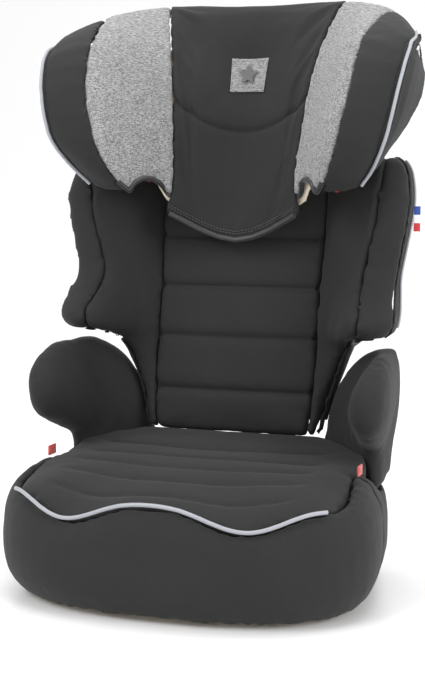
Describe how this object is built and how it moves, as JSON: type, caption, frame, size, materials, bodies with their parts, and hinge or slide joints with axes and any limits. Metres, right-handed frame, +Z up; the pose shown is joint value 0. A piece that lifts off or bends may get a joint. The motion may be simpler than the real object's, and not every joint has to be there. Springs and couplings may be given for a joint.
{
  "type": "booster seat",
  "caption": "High-back child booster: padded seat with armrests, a winged backrest that reclines on a rod, and a winged headrest that slides up and down.",
  "frame": {"origin": "middle of the footprint, on the floor", "axes": "+Z up, the child faces -Y, +X is the child's left"},
  "size_m": [0.464, 0.4448, 0.7101],
  "materials": {
    "black_fabric": "smooth woven cover",
    "heather_fabric": "light grey heather weave",
    "white_trim": "smooth trim",
    "foam": "foam",
    "black_plastic": "fine grain",
    "red_plastic": "satin",
    "steel": "zinc plated",
    "rubber": "matt"
  },
  "bodies": {
    "base": {"armrest_core_left": "black_plastic", "armrest_core_right": "black_plastic", "armrest_cover_left": "black_fabric", "armrest_cover_right": "black_fabric", "base_core": "foam", "base_shell": "black_plastic", "foot_front_left": "rubber", "foot_front_right": "rubber", "foot_rear_left": "rubber", "foot_rear_right": "rubber", "hinge_rod": "steel", "lap_belt_tab_left": "red_plastic", "lap_belt_tab_right": "red_plastic", "rod_bracket_left": "black_plastic", "rod_bracket_right": "black_plastic", "seat_pad": "black_fabric", "seat_piping": "white_trim", "seat_skirt": "black_fabric", "side_panel_left": "black_fabric", "side_panel_right": "black_fabric"},
    "backrest": {"backrest_panel_pad": "black_fabric", "backrest_shell": "black_plastic", "height_rack": "steel", "rod_hook_left": "black_plastic", "rod_hook_right": "black_plastic", "side_label": "white_trim", "spine": "black_plastic", "spine_screw_lower_left": "steel", "spine_screw_lower_right": "steel", "spine_screw_upper_left": "steel", "spine_screw_upper_right": "steel", "wing_edge_left": "black_fabric", "wing_edge_right": "black_fabric", "wing_pad_left": "black_fabric", "wing_pad_right": "black_fabric", "wing_piping_left": "white_trim", "wing_piping_right": "white_trim", "wing_side_left": "black_fabric", "wing_side_right": "black_fabric"},
    "headrest": {"head_band_left": "black_fabric", "head_band_right": "black_fabric", "head_centre_pad": "black_fabric", "head_liner": "foam", "head_patch": "heather_fabric", "head_piping_left": "white_trim", "head_piping_right": "white_trim", "head_shell": "black_plastic", "head_side_left": "black_fabric", "head_side_right": "black_fabric", "head_slider": "black_plastic", "head_strip_left": "heather_fabric", "head_strip_right": "heather_fabric", "lever_pin": "steel", "lever_spring": "steel", "shoulder_belt_guide_left": "red_plastic", "shoulder_belt_guide_right": "red_plastic"},
    "lever": {"height_lever": "red_plastic"},
    "latch": {"latch_bolt": "steel"}
  },
  "joints": [
    {"name": "backrest_tilt", "type": "hinge", "parent": "base", "child": "backrest", "pos_m": [0, 0.1257, 0.08], "axis": [1, 0, 0], "range_deg": [-12, 0]},
    {"name": "headrest_height", "type": "slide", "parent": "backrest", "child": "headrest", "axis": [0, 0.1891, 0.982], "range_m": [0, 0.12]},
    {"name": "height_lever", "type": "hinge", "parent": "headrest", "child": "lever", "pos_m": [0, 0.20143, 0.63447], "axis": [-1, 0, 0], "range_deg": [0, 14], "stiffness_Nm_per_rad": 0.05, "springref_deg": -17.19},
    {"name": "latch_slide", "type": "slide", "parent": "headrest", "child": "latch", "axis": [0, -0.982, 0.1891], "range_m": [0, 0.005]}
  ],
  "couplings": [
    {"joint": "latch_slide", "follows": "height_lever", "m_per_rad": 0.02}
  ]
}
